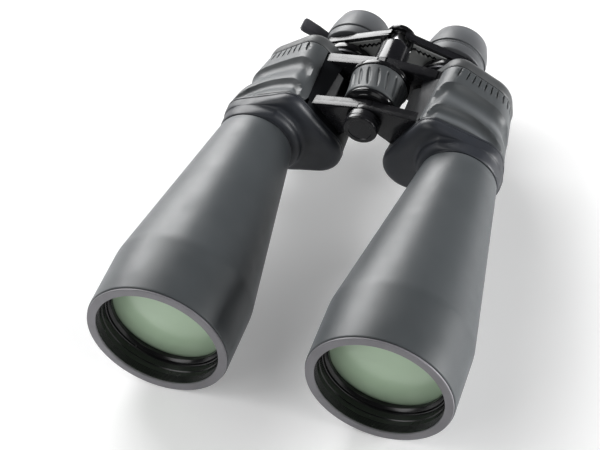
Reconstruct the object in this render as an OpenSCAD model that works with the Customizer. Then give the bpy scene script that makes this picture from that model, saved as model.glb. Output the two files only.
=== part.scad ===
// Large porro-prism zoom binoculars. Objectives face -Y, eyepieces +Y, focus wheel up (+Z).
// "left" and "right" are the user's, looking through the eyepieces: left is +X, right is -X.
// Lengths along the optical axes are measured from the front face of the objective rings.

/* [Optics] */
// Clear radius of each objective lens
lens_r = 35; // [30:1:36]
// Distance from the middle plane to each objective axis
objective_x = 68; // [66:0.5:74]
// Distance from the middle plane to each eyepiece axis at rest
eyepiece_x = 34.5; // [33:0.5:36]
// How far the eyepiece axes lie below the objective axes
eyepiece_drop = 5.7; // [4:0.1:7]

/* [Barrels] */
// Outer radius of the rubber-covered bell
bell_r = 44.7; // [44:0.1:46]
// Where the bell ends and the cone begins
bell_len = 43.9; // [36:0.1:50]
// Where the cone meets the front prism cover
cone_end = 173; // [168:1:176]
// Outer radius of the cone where it meets the cover
cone_r = 24.8; // [24:0.1:25]
// Thickness of the rubber on the barrels
rubber_t = 1.8; // [1.4:0.1:2]

/* [Prism housings] */
// Front seam of the housing
housing_y0 = 190; // [188:1:192]
// Rear seam of the housing
housing_y1 = 244; // [243:1:246]
// Rear face of the rear cover
cover_end = 256; // [254:1:257]

/* [Hinge and focus] */
// Height of the hinge axis above the objective axes
hinge_z = 16.5; // [15:0.5:18]
// Radius of the hinge knuckles
knuckle_r = 11; // [10:0.5:12]
// Radius of the focus wheel's rubber at its front edge
wheel_r = 17.6; // [16:0.1:18]
// Radius of the focus wheel's rear flange
wheel_rim_r = 20; // [18:0.1:20.5]

/* [Eyepieces] */
// Rear end of the rubber eyecups, the overall length
overall_len = 304; // [302:1:308]
// Outer radius of an eyecup at its rear rim
eyecup_r = 18.6; // [17:0.1:19]
// Outer radius of a zoom ring
zoom_ring_r = 21.5; // [20:0.1:22]
// Length of the zoom lever outside its ring
lever_len = 19.5; // [12:0.5:24]

/* [Hidden] */
$fn = 96;
NODES = ["objective_ring_left", "objective_ring_right", "lens_retainer_left", "lens_retainer_right",
    "crown_lens_left", "crown_lens_right", "flint_lens_left", "flint_lens_right",
    "objective_cell_left", "objective_cell_right", "barrel_left", "barrel_right",
    "barrel_rubber_left", "barrel_rubber_right", "front_cover_left", "front_cover_right",
    "prism_housing_left", "prism_housing_right", "housing_rubber_left", "housing_rubber_right",
    "rear_cover_left", "rear_cover_right", "first_prism_left", "first_prism_right",
    "second_prism_left", "second_prism_right", "prism_clips_left", "prism_clips_right",
    "hinge_axle", "rear_sleeve", "tripod_insert", "cap_washer", "hinge_cap",
    "focus_wheel", "focus_wheel_rubber", "focus_nut", "focus_shaft",
    "eyepiece_arm_left", "eyepiece_arm_right", "hub_screw", "eyepiece_tube_left", "eyepiece_tube_right",
    "zoom_band_left", "zoom_band_right", "zoom_drum_left", "zoom_drum_right",
    "zoom_ring_left", "zoom_ring_right", "zoom_lever",
    "zoom_lenses_left", "zoom_lenses_right", "dioptre_ring", "eyepiece_collar",
    "eye_lens_left", "eye_lens_right", "eyecup_left", "eyecup_right", "cover_screws_left", "cover_screws_right"];
node = "all";

gap = 0.4;                 // running gap between pieces that turn or slide past each other
fit = 0.05;                // radial clearance of a running fit
shell = 2;                 // wall of the aluminium barrels and covers
mid_y = overall_len / 2;
ring_r = bell_r - 0.7;     // front ring, set back from the rubber
ring_in = lens_r + 3.6;
barrel_r = bell_r - rubber_t;
cell_r = barrel_r - shell;
cell_seat_r = lens_r + 2.5;
lens_y = 15.5;             // front vertex of the crown lens
slope = (bell_r - cone_r) / (cone_end - bell_len);
eyepiece = [eyepiece_x, -eyepiece_drop];
objective = [objective_x, 0];

// housing outline: circles [x, z, r] joined by their outer tangents, anticlockwise
front_corners = [[75.9, 6, 17], [47.5, 23.2, 11], [32, -9, 18], [50, -12.5, 18], [72.5, -9, 20]];
rear_corners = [[65.5, 1, 18.5], [50, 19.2, 11.8], [33, -8, 17], [50, -10.5, 17.5], [66, -7.5, 18.5]];
skin_t = 2.2;              // rubber on the housings
wall_t = 2.4;              // cast wall under it
skin_edge_x = 34;          // inner edge of the housing rubber

// hinge bridges: front and rear plates of the castings
bridge_t = 8.3;
front_bridge = 194;
rear_bridge = 235.8;
bridge_fall = 0.105;       // how fast the plates' top edges drop outwards
front_ends = [38.8, 36, 26, 19];
rear_ends = [42.8, 39.4, 28.1, 20];
// flange of the casting beside the focus wheel
flange_x = 23.3;
flange_z = 20;
flange_t = 1.6;
flange_cut = [226, 232];   // where its rear corner starts and ends
flange_cut_w = 7;
flange_root = 38;          // inside the casting's wall
axis = [0, hinge_z];
axle_r = 5.2;
axle_in = 4.1;
axle_end = 261;
wheel_y = [203.4, 207, 228, 231.4];
cap_r = 11.4;
cap_y = 184.6;
cap_end = 193;
sleeve_r = 10.5;
sleeve_end = 268;
stud_r = 3;

// eyepiece bridge
arm_y = 270.5;
arm_t = 6;
arm_ring_r = 20.5;
arm_fall = 0.36;
hub_r = 10;
hub_y = [271.9, 280.4];
hub_split = 274.65;
shaft_r = 3.6;
neck_r = 5.3;
key_w = 2.8;               // key that keeps the shaft from turning in the axle
hub_pin_r = 4.6;
tube_r = 16;
tube_in = 13.5;
zoom_y = [276.9, 284];
collar_y = [284.3, 287.8];
eyecup_y = 289;
tube_start = 248;
tube_end = 287.6;
lever_y = [272.4, 284];
lever_rise = 30;           // angle of the lever above level

// both prisms turn the light by half the offset between the axes, at right angles to each other
shift = eyepiece - objective;
turn = atan2(shift[1], shift[0]);
prism_step = norm(shift) / sqrt(2);
first_turn = turn - 45;
between = objective + prism_step * [cos(first_turn), sin(first_turn)];
prism_w = 18;
prism_half = 22;           // half the long face
prism_flat = 2.5;          // half the flat ground on the apex
shelf_y = [213, 217];

// screws of the rear covers, near three corners of the outline
screw_r = 1;
screw_head_r = 2.2;
screw_head_y = 254.3;
screw_places = [for (k = [[1, 120], [0, 10], [3, -95]]) let(c = rear_corners[k[0]])
    [c[0], c[1]] + (c[2] - 6.4) * [cos(k[1]), sin(k[1])]];

// ---------- shared shapes ----------

// everything is drawn in axis coordinates, then set down on its lowest line
module placed() { translate([0, -mid_y, bell_r]) children(); }

// a flat outline in the XZ plane, from y0 to y1
module slab(y0, y1) { translate([0, y1, 0]) rotate([90, 0, 0]) linear_extrude(y1 - y0) children(); }

// a profile of [radius, y] points turned about an axis parallel to Y
module turned(at, profile) {
    translate([at[0], 0, at[1]]) rotate([-90, 0, 0]) rotate_extrude() polygon(profile);
}
module disc(at, r, y0, y1) {
    translate([at[0], y0, at[1]]) rotate([-90, 0, 0]) cylinder(r = r, h = y1 - y0);
}
module pipe(at, r_out, r_in, y0, y1) {
    turned(at, [[r_in, y0], [r_out, y0], [r_out, y1], [r_in, y1]]);
}

function dir(a) = [cos(a), sin(a)];
function xz(c) = [c[0], c[1]];
// direction of the outer tangent's normal between two circles of an outline
function tangent(a, b) = let(d = xz(b) - xz(a))
    atan2(d[1], d[0]) - acos((a[2] - b[2]) / norm(d));
// the angle b, counted on anticlockwise from a
function onward(a, b) = a + (b - a + 720) % 360;
// points of the outline, each circle shrunk by inset, with a point about every 10 degrees
function outline(c, inset) = let(n = len(c)) [for (i = [0:n - 1])
    let(from = tangent(c[(i + n - 1) % n], c[i]), to = onward(from, tangent(c[i], c[(i + 1) % n])),
        steps = max(1, round((to - from) / 10)))
    for (k = [0:steps]) xz(c[i]) + (c[i][2] - inset) * dir(from + (to - from) * k / steps)];
module front_outline(inset) { polygon(outline(front_corners, inset)); }
module rear_outline(inset) { polygon(outline(rear_corners, inset)); }

// solid of the housing between two inset outlines
module housing_block(inset, y0, y1) {
    intersection() {
        hull() {
            slab(housing_y0 - 0.1, housing_y0) front_outline(inset);
            slab(housing_y1, housing_y1 + 0.1) rear_outline(inset);
        }
        translate([0, y0, -50]) cube([120, y1 - y0, 100]);
    }
}

function barrel_outer(y, inset) = (y < bell_len ? bell_r : bell_r - slope * (y - bell_len)) - inset;
// sag of a spherical surface of radius big at distance r from its axis
function sag(r, big) = big - sqrt(big * big - r * r);
function lens_face(r_max, big, y, n = 8) = [for (i = [0:n]) let(r = r_max * i / n) [r, y + sag(r, big)]];
function back_to_front(points) = [for (i = [len(points) - 1:-1:0]) points[i]];

// ---------- objective end ----------

module objective_ring() color("dimgray") placed() turned(objective, [
    [ring_in, 0.4], [ring_in + 0.4, 0], [ring_r - 0.5, 0], [ring_r, 0.5], [ring_r, 1.4], [ring_in, 1.4]]);

module objective_cell() color("black") placed() turned(objective, [
    [ring_in, 1.4], [cell_r, 1.4], [cell_r, 34], [lens_r - 0.5, 34], [lens_r - 0.5, 30],
    [cell_seat_r, 30], [cell_seat_r, 14.4], [ring_in, 14.4]]);

module lens_retainer() color("black") placed() turned(objective, [
    [lens_r + 1.6, 14.9], [cell_seat_r, 14.9], [cell_seat_r, 19], [lens_r, 19], [lens_r, 16.4]]);

// the two cemented lenses of one objective
crown_front = 160;
cement_curve = 140;
crown_t = 11.5;
flint_back = 600;
flint_t = 3.2;
module crown_lens() color([0.6, 0.72, 0.6]) placed() turned(objective, concat(
    lens_face(cell_seat_r, crown_front, lens_y),
    [for (p = back_to_front(lens_face(cell_seat_r, cement_curve, 0))) [p[0], lens_y + crown_t - p[1]]]));
module flint_lens() color([0.6, 0.72, 0.6]) placed() turned(objective, concat(
    [for (p = lens_face(cell_seat_r, cement_curve, 0)) [p[0], lens_y + crown_t + 0.05 - p[1]]],
    [for (p = back_to_front(lens_face(cell_seat_r, flint_back, 0)))
        [p[0], lens_y + crown_t + flint_t - p[1]]]));

// ---------- barrels ----------

barrel_tail = housing_y0 - 4;
module barrel() color("gray") placed() turned(objective, [
    [cell_r, 1.4], [barrel_r, 1.4], [barrel_r, bell_len],
    [barrel_outer(cone_end, rubber_t), cone_end], [barrel_outer(cone_end, rubber_t), barrel_tail],
    [barrel_outer(cone_end, rubber_t + shell), barrel_tail],
    [barrel_outer(cone_end, rubber_t + shell), cone_end], [cell_r, bell_len]]);

module barrel_rubber() color([0.2, 0.22, 0.23]) placed() turned(objective, [
    [barrel_r, 1.8], [bell_r - 0.6, 1.8], [bell_r, 2.4], [bell_r, bell_len],
    [cone_r, cone_end], [cone_r - rubber_t, cone_end], [barrel_r, bell_len]]);

// ---------- prism housings ----------

module front_cover() color([0.12, 0.12, 0.13]) placed() difference() {
    union() {
        hull() {
            slab(housing_y0 - 1, housing_y0) front_outline(0);
            slab(184.5, 184.6) front_outline(0.9);
            slab(180.5, 180.6) front_outline(4);
            slab(178.6, 178.7) front_outline(9);
        }
        intersection() {
            turned(objective, [[20, cone_end + 0.3], [cone_r + 0.2, cone_end + 0.3], [cone_r + 1, 177],
                [cone_r + 3, 180], [cone_r + 3, 184], [20, 184]]);
            slab(cone_end, housing_y0) front_outline(0);
        }
    }
    disc(objective, cone_r - rubber_t, cone_end - 1, barrel_tail);
    disc(objective, 20, barrel_tail - 1, housing_y0 + 1);
    hull() {
        slab(housing_y0, housing_y0 + 1) front_outline(skin_t + wall_t);
        slab(183, 183.1) front_outline(skin_t + wall_t + 3);
    }
}

// hinge plate from the casting to the hinge, seen along Y; ends holds the x at which its
// edges meet the casting, from the top down
module bridge_plate(ends) {
    top = hinge_z + knuckle_r;
    polygon([[0, hinge_z], [0, top], [ends[0], top - bridge_fall * ends[0]], [ends[1], 20], [ends[2], 7],
        [ends[3], -2], [15, 1.6], [10, 5.2], [7, 8]]);
}
// own 0 keeps the front half of the knuckle, own 1 the rear half
module bridge(y0, ends, own, bore) {
    middle = y0 + bridge_t / 2;
    difference() {
        union() {
            slab(y0, y0 + bridge_t) bridge_plate(ends);
            disc(axis, knuckle_r, own == 0 ? y0 : middle + 0.15, own == 0 ? middle - 0.15 : y0 + bridge_t);
        }
        disc(axis, knuckle_r + gap, own == 0 ? middle - 0.15 : y0 - 1,
            own == 0 ? y0 + bridge_t + 1 : middle + 0.15);
        disc(axis, bore, y0 - 1, y0 + bridge_t + 1);
    }
}

module prism_housing(own, bore) color([0.13, 0.13, 0.14]) placed() difference() {
    union() {
        housing_block(skin_t, housing_y0, housing_y1);
        bridge(front_bridge, front_ends, own, bore);
        bridge(rear_bridge, rear_ends, own, bore);
        for (p = screw_places) disc(p, 2.4, 236, housing_y1);
        translate([0, 0, flange_z - flange_t]) linear_extrude(flange_t)
            polygon([[flange_x, front_bridge + 1], [flange_root, front_bridge + 1],
                [flange_root, flange_cut[1]], [flange_x + flange_cut_w, flange_cut[1]],
                [flange_x, flange_cut[0]]]);
    }
    housing_block(skin_t + wall_t, housing_y0 - 1, shelf_y[0]);
    difference() {
        housing_block(skin_t + wall_t, shelf_y[1], housing_y1 + 0.1);
        for (p = screw_places) disc(p, 2.4, 236, housing_y1 + 1);
    }
    disc(objective, 13, shelf_y[0] - 1, shelf_y[1] + 1);
    disc(between, 9.5, shelf_y[0] - 1, shelf_y[1] + 1);
    disc(eyepiece, 9.5, shelf_y[0] - 1, shelf_y[1] + 1);
    for (p = screw_places) disc(p, screw_r, 240, housing_y1 + 1);
}

module housing_rubber() color([0.24, 0.26, 0.27]) placed() difference() {
    housing_block(0, housing_y0 + 0.3, housing_y1 - 0.3);
    housing_block(skin_t, housing_y0 - 1, housing_y1 + 1);
    translate([0, housing_y0 - 1, -50]) cube([skin_edge_x, housing_y1 - housing_y0 + 2, 100]);
    // the rubber stops above the flange
    translate([0, housing_y0 - 1, 0]) cube([flange_root, housing_y1 - housing_y0 + 2, flange_z + 0.2]);
    slab(front_bridge - 0.1, front_bridge + bridge_t + 0.1) bridge_plate(front_ends);
    slab(rear_bridge - 0.1, housing_y1 + 1) bridge_plate(rear_ends);
}

module rear_cover() color([0.13, 0.13, 0.14]) placed() difference() {
    union() {
        hull() {
            slab(housing_y1, housing_y1 + 0.5) rear_outline(0);
            slab(250, 250.1) rear_outline(0.4);
            slab(253.6, 253.7) rear_outline(2.6);
            slab(cover_end - 0.1, cover_end) rear_outline(7);
        }
        disc(eyepiece, 19.4, 250, cover_end);
    }
    hull() {
        slab(housing_y1 - 1, housing_y1) rear_outline(skin_t + wall_t);
        slab(252, 252.1) rear_outline(skin_t + wall_t + 3);
    }
    disc(eyepiece, tube_r + gap, 240, cover_end + 3);
    for (p = screw_places) {
        disc(p, screw_r + 0.1, 240, cover_end + 1);
        disc(p, screw_head_r + 0.1, screw_head_y, cover_end + 1);
    }
}

// ---------- prisms ----------

// right-angle prism: long face at y, apex on the side that way points, lying along the angle
module porro(centre, angle, y, way) {
    translate([centre[0], y, centre[1]]) rotate([0, -angle, 0])
        translate([0, 0, -prism_w / 2]) linear_extrude(prism_w)
            polygon([[-prism_half, 0], [prism_half, 0], [prism_flat, way * (prism_half - prism_flat)],
                [-prism_flat, way * (prism_half - prism_flat)]]);
}
first_centre = (objective + between) / 2;
second_centre = (between + eyepiece) / 2;
module first_prism() color("lightblue") placed() porro(first_centre, first_turn, shelf_y[1] + 0.3, 1);
module second_prism() color("lightblue") placed() porro(second_centre, first_turn + 90, shelf_y[0] - 0.3, -1);

// sprung straps over the prisms' apexes
clip_w = 6;
clip_t = 0.6;
module clip(centre, angle, y, way) {
    reach = prism_half - prism_flat + 0.3;
    translate([centre[0], y, centre[1]]) rotate([0, -angle, 0])
        translate([-2.6, way * reach - (way < 0 ? clip_t : 0), -prism_w / 2 - 1]) {
            cube([5.2, clip_t, prism_w + 2]);
            translate([0, way > 0 ? -reach : 0, -clip_t]) cube([5.2, reach + clip_t, clip_t]);
            translate([0, way > 0 ? -reach : 0, prism_w + 2]) cube([5.2, reach + clip_t, clip_t]);
        }
}
module prism_clips() color("silver") placed() {
    clip(first_centre, first_turn, shelf_y[1] + 0.05, 1);
    clip(second_centre, first_turn + 90, shelf_y[0] - 0.05, -1);
}

// ---------- hinge ----------

module hinge_axle() color("gray") placed() difference() {
    disc(axis, axle_r, front_bridge, axle_end);
    disc(axis, axle_in, front_bridge - 1, axle_end + 1);
    // slot that the shaft's key slides in
    translate([-key_w / 2 - 0.1, 208, hinge_z]) cube([key_w + 0.2, 20, 10]);
}

module rear_sleeve() color([0.05, 0.05, 0.05]) placed() turned(axis, [
    [axle_r, 244.4], [sleeve_r - 0.2, 244.4], [sleeve_r, 246], [sleeve_r, 263], [sleeve_r - 0.8, 265.6],
    [sleeve_r - 2.6, 267.3], [sleeve_r - 4, sleeve_end], [neck_r + gap, sleeve_end],
    [neck_r + gap, axle_end], [axle_r, axle_end]]);

module tripod_insert() color("goldenrod") placed() pipe(axis, axle_in, stud_r + fit, front_bridge, 203);

module cap_washer() color("black") placed() pipe(axis, 9, stud_r + gap, cap_end + 0.2, front_bridge - 0.2);

module hinge_cap() color("black") placed() union() {
    turned(axis, [[0, cap_y], [cap_r - 1.2, cap_y], [cap_r, cap_y + 1.2], [cap_r, cap_end], [0, cap_end]]);
    disc(axis, stud_r, cap_end - 0.1, 200.5);
}

// ---------- focus drive ----------

module focus_wheel() color([0.08, 0.08, 0.09]) placed() turned(axis, [
    [axle_r + fit, wheel_y[0]], [wheel_r - 3, wheel_y[0]], [wheel_r - 0.8, wheel_y[0] + 1.6],
    [wheel_r - 0.6, wheel_y[1]], [wheel_r - 2.4, wheel_y[1]], [wheel_r - 1.2, wheel_y[2]],
    [wheel_rim_r, wheel_y[2]], [wheel_rim_r, wheel_y[3] - 1], [wheel_rim_r - 1, wheel_y[3]],
    [wheel_rim_r - 6, wheel_y[3]], [wheel_rim_r - 6, wheel_y[2]],
    [8, wheel_y[2]], [8, wheel_y[1] + 4], [axle_r + fit, wheel_y[1] + 4]]);

module focus_wheel_rubber() color([0.24, 0.26, 0.27]) placed() turned(axis, [
    [wheel_r - 2.4, wheel_y[1]], [wheel_r - 0.4, wheel_y[1]], [wheel_r, wheel_y[1] + 0.5],
    [wheel_rim_r - 0.8, wheel_y[2] - 0.5], [wheel_rim_r - 1.2, wheel_y[2]], [wheel_r - 1.2, wheel_y[2]]]);

module focus_nut() color("goldenrod") placed() pipe(axis, 8, axle_r + fit, wheel_y[1] + 4, wheel_y[2] - 1);

module focus_shaft() color("silver") placed() union() {
    turned(axis, [[0, 212], [shaft_r, 212], [shaft_r, 265], [neck_r, 266], [neck_r, hub_y[0]],
        [hub_pin_r, hub_y[0]], [hub_pin_r, hub_y[1] - 3], [0, hub_y[1] - 3]]);
    translate([-key_w / 2, 214, hinge_z]) cube([key_w, 5, axle_r - 0.3]);
}

// ---------- eyepiece bridge ----------

// edge of the arm's top, for a distance x from the middle plane
function arm_top(x) = 26.2 - arm_fall * x;
module arm_plate() {
    polygon([[0, hinge_z], [0, arm_top(0)], [46, arm_top(46)], [47.6, 6.2], [47, 4], [44, 0], [20, 0],
        [15, 8], [9.5, 10], [6, 11]]);
}
// own 0 keeps the front half of the hub, own 1 the rear half
module eyepiece_arm(own) color([0.1, 0.1, 0.11]) placed() {
    difference() {
        union() {
            slab(arm_y, arm_y + arm_t) arm_plate();
            disc(eyepiece, arm_ring_r, arm_y, arm_y + arm_t);
            disc(axis, hub_r, own == 0 ? hub_y[0] : hub_split + 0.15, own == 0 ? hub_split - 0.15 : hub_y[1]);
        }
        disc(axis, hub_r + gap, own == 0 ? hub_split - 0.15 : arm_y - 1, own == 0 ? hub_y[1] + 1 : hub_split + 0.15);
        if (own == 0) disc(axis, hub_r + gap, arm_y - 1, hub_y[0]);
        disc(axis, hub_pin_r + (own == 0 ? 0 : fit), arm_y - 1, hub_y[1] + 1);
        disc(eyepiece, tube_r, arm_y - 1, arm_y + arm_t + 1);
    }
}

// keeps both hubs on the shaft
module hub_screw() color("silver") placed() union() {
    disc(axis, 7, hub_y[1] + 0.3, hub_y[1] + 2);
    disc(axis, hub_pin_r - 0.2, hub_y[1] - 3, hub_y[1] + 0.4);
}

module eyepiece_tube() color("gray") placed() difference() {
    union() {
        pipe(eyepiece, tube_r, tube_in, tube_start, tube_end);
        pipe(eyepiece, tube_r + 2, tube_r - 1, 260.6, 262.4);
    }
    // cam slot that joins the zoom drum to the lens group
    translate([eyepiece[0] - 2, 264, eyepiece[1] - 20]) cube([4, 4, 10]);
}

// the straight stretch of the toothed band between hub and eyepiece
module zoom_band() color("silver") placed() slab(arm_y - 1.4, arm_y - 0.4)
    polygon(concat([[11.8, arm_top(11.8) - 2], [30, arm_top(30) - 2], [30, arm_top(30) - 5]],
        [for (i = [0:11]) let(x = 29 - i * 1.5) each
            [[x, arm_top(x) - 5], [x - 0.3, arm_top(x) - 6.6], [x - 0.9, arm_top(x) - 6.6], [x - 1.2, arm_top(x) - 5]]],
        [[11.8, arm_top(11.8) - 5]]));

module zoom_drum() color([0.1, 0.1, 0.11]) placed()
    turned(eyepiece, [[tube_r + fit, 262.6], [18.2, 262.6], [19, 263.4], [19, 267.4], [18.2, 268.2],
        [tube_r + fit, 268.2]]);

module zoom_ring() color([0.24, 0.26, 0.27]) placed() turned(eyepiece, [
    [tube_r + fit, zoom_y[0]], [zoom_ring_r - 1, zoom_y[0]], [zoom_ring_r, zoom_y[0] + 1],
    [zoom_ring_r, zoom_y[1] - 1], [zoom_ring_r - 1, zoom_y[1]], [tube_r + fit, zoom_y[1]]]);

// flat paddle that stands out of the right zoom ring, up and outwards
lever_t = 3;
lever_foot = zoom_ring_r;
module zoom_lever() color([0.2, 0.2, 0.21]) placed()
    translate([eyepiece[0], 0, eyepiece[1]]) rotate([0, -lever_rise, 0]) {
        tip = lever_foot + lever_len;
        translate([lever_foot, zoom_y[0] + 1.2, -lever_t / 2]) cube([4, zoom_y[1] - zoom_y[0] - 2.4, lever_t]);
        translate([0, 0, -lever_t / 2]) linear_extrude(lever_t)
            polygon([[lever_foot + 2, lever_y[0] + 3], [lever_foot + 4, lever_y[0] + 1], [tip - 2, lever_y[0]],
                [tip, lever_y[0] + 2], [tip, lever_y[1] - 2], [tip - 2, lever_y[1]],
                [lever_foot + 2, lever_y[1] - 1]]);
    }

module zoom_lenses() color([0.7, 0.75, 0.75]) placed() {
    pipe(eyepiece, tube_in - fit, 10, 256, 270);
    disc(eyepiece, 10, 258, 262);
}

module dioptre_ring() color([0.14, 0.14, 0.15]) placed() turned(eyepiece, [
    [tube_r + fit, collar_y[0]], [zoom_ring_r - 1, collar_y[0]], [zoom_ring_r - 0.4, collar_y[0] + 0.7],
    [zoom_ring_r - 0.6, collar_y[1] - 0.6], [zoom_ring_r - 1.2, collar_y[1]], [tube_r + fit, collar_y[1]]]);
module eyepiece_collar() color([0.14, 0.14, 0.15]) placed() pipe(eyepiece, zoom_ring_r - 0.8, tube_r,
    collar_y[0], collar_y[1]);

module eye_lens() color([0.7, 0.75, 0.75]) placed() {
    turned(eyepiece, concat([[0, 283]], [[11, 283]],
        [for (i = [8:-1:0]) let(r = 11 * i / 8) [r, 292 - sag(r, 26)]]));
    pipe(eyepiece, tube_in - fit, 11, 281, 291);
}

module eyecup() color([0.2, 0.21, 0.22]) placed() turned(eyepiece, [
    [tube_in - fit, eyecup_y], [zoom_ring_r - 0.9, eyecup_y], [zoom_ring_r - 1.2, 293],
    [eyecup_r + 0.9, 298.5], [eyecup_r, overall_len - 1], [eyecup_r - 1, overall_len],
    [eyecup_r - 2.6, overall_len], [eyecup_r - 3.4, 300], [eyecup_r - 4, 293.6], [tube_in - fit, 292]]);

module cover_screws() color("silver") placed() for (p = screw_places) union() {
    disc(p, screw_r, 240.5, screw_head_y + 0.1);
    disc(p, screw_head_r, screw_head_y, screw_head_y + 1);
}

// ---------- every piece, on its side ----------

function wanted(name) = node == "all" || node == name;
for (side = ["left", "right"]) mirror([side == "left" ? 0 : 1, 0, 0]) {
    own = side == "left" ? 0 : 1;
    if (wanted(str("objective_ring_", side))) objective_ring();
    if (wanted(str("lens_retainer_", side))) lens_retainer();
    if (wanted(str("crown_lens_", side))) crown_lens();
    if (wanted(str("flint_lens_", side))) flint_lens();
    if (wanted(str("objective_cell_", side))) objective_cell();
    if (wanted(str("barrel_", side))) barrel();
    if (wanted(str("barrel_rubber_", side))) barrel_rubber();
    if (wanted(str("front_cover_", side))) front_cover();
    if (wanted(str("prism_housing_", side))) prism_housing(own, axle_r + own * fit);
    if (wanted(str("housing_rubber_", side))) housing_rubber();
    if (wanted(str("rear_cover_", side))) rear_cover();
    if (wanted(str("cover_screws_", side))) cover_screws();
    if (wanted(str("first_prism_", side))) first_prism();
    if (wanted(str("second_prism_", side))) second_prism();
    if (wanted(str("prism_clips_", side))) prism_clips();
    if (wanted(str("eyepiece_arm_", side))) eyepiece_arm(own);
    if (wanted(str("eyepiece_tube_", side))) eyepiece_tube();
    if (wanted(str("zoom_band_", side))) zoom_band();
    if (wanted(str("zoom_drum_", side))) zoom_drum();
    if (wanted(str("zoom_ring_", side))) zoom_ring();
    if (wanted(str("zoom_lenses_", side))) zoom_lenses();
    if (wanted(str("eye_lens_", side))) eye_lens();
    if (wanted(str("eyecup_", side))) eyecup();
}
if (wanted("hinge_axle")) hinge_axle();
if (wanted("rear_sleeve")) rear_sleeve();
if (wanted("tripod_insert")) tripod_insert();
if (wanted("cap_washer")) cap_washer();
if (wanted("hinge_cap")) hinge_cap();
if (wanted("focus_wheel")) focus_wheel();
if (wanted("focus_wheel_rubber")) focus_wheel_rubber();
if (wanted("focus_nut")) focus_nut();
if (wanted("focus_shaft")) focus_shaft();
if (wanted("hub_screw")) hub_screw();
if (wanted("dioptre_ring")) dioptre_ring();
if (wanted("zoom_lever")) mirror([1, 0, 0]) zoom_lever();
if (wanted("eyepiece_collar")) mirror([1, 0, 0]) eyepiece_collar();
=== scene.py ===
"""Looks of the binoculars: each piece rides on its CAD body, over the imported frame.

Pieces are drawn in millimetres in the part's own measures: x from the middle plane, y from the
front faces of the objective rings, z from the objective axes. "left" is +X, "right" is -X.
"""
import math

import bmesh
import bpy
from mathutils import Matrix, Vector


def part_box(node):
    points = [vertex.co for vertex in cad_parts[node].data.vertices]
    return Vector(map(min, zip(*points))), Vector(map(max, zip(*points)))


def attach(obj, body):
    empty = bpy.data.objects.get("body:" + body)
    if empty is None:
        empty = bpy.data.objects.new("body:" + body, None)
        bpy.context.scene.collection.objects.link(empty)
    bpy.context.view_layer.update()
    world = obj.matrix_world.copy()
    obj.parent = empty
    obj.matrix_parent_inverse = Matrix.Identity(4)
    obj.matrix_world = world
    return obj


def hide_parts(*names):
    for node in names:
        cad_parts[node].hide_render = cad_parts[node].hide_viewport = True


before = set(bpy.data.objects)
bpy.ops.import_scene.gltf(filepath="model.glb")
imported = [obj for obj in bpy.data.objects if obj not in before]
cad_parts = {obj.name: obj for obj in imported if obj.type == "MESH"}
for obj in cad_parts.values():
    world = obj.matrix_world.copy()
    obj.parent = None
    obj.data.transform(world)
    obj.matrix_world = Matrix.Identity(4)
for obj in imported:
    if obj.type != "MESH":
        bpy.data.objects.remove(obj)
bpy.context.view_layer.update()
scene = bpy.context.scene
MM = 0.001


# ---------- places, from the frame ----------

def middle(node):
    low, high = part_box(node)
    return (low + high) / 2 / MM


ORIGIN = Vector((0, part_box("objective_ring_left")[0].y / MM, middle("objective_ring_left").z))


def local(node):
    """(lowest, highest) corner of a CAD node in the part's measures."""
    return tuple(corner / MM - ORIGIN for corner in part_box(node))


OBJECTIVE = (middle("objective_ring_left").x, 0.0)
EYEPIECE = (middle("zoom_ring_left").x, middle("zoom_ring_left").z - ORIGIN.z)
HINGE = (0.0, middle("focus_wheel").z - ORIGIN.z)
SIDES = (("left", 1), ("right", -1))

BELL_R = local("barrel_rubber_left")[1].z
BELL_LEN = 43.9
CONE_END = local("barrel_rubber_left")[1].y
CONE_R = 24.8
SEAM_FRONT = local("front_cover_left")[1].y
SEAM_REAR = local("rear_cover_left")[0].y
COVER_END = local("rear_cover_left")[1].y
ARMOUR = 4.0                # depth the armour's mesh reaches into the housing
ARMOUR_EDGE_X = 36.7        # its inner edge, beside the hinge

# housing outline: circles (x, z, r) joined by their outer tangents
FRONT_CORNERS = ((75.9, 6, 17), (47.5, 23.2, 11), (32, -9, 18), (50, -12.5, 18), (72.5, -9, 20))
REAR_CORNERS = ((65.5, 1, 18.5), (50, 19.2, 11.8), (33, -8, 17), (50, -10.5, 17.5), (66, -7.5, 18.5))


# ---------- materials ----------

def material(name, color, roughness, metallic=0.0, **sockets):
    """A Principled material; sockets are further constant inputs, with _ for the spaces in names."""
    made = bpy.data.materials.new(name)
    made.use_nodes = True
    shader = made.node_tree.nodes["Principled BSDF"]
    shader.inputs["Base Color"].default_value = (*color, 1)
    shader.inputs["Roughness"].default_value = roughness
    shader.inputs["Metallic"].default_value = metallic
    for key, value in sockets.items():
        shader.inputs[key.replace("_", " ")].default_value = value
    return made


def add(made, kind, **values):
    node = made.node_tree.nodes.new(kind)
    for key, value in values.items():
        setattr(node, key, value)
    return node


def wire(made, start, out, end, into):
    made.node_tree.links.new(start.outputs[out], end.inputs[into])


def noise(made, scale, detail=3.0):
    """Noise over object coordinates, with scale in features a metre."""
    place = add(made, "ShaderNodeTexCoord")
    cloud = add(made, "ShaderNodeTexNoise")
    cloud.inputs["Scale"].default_value = scale
    cloud.inputs["Detail"].default_value = detail
    wire(made, place, "Object", cloud, "Vector")
    return cloud


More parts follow.
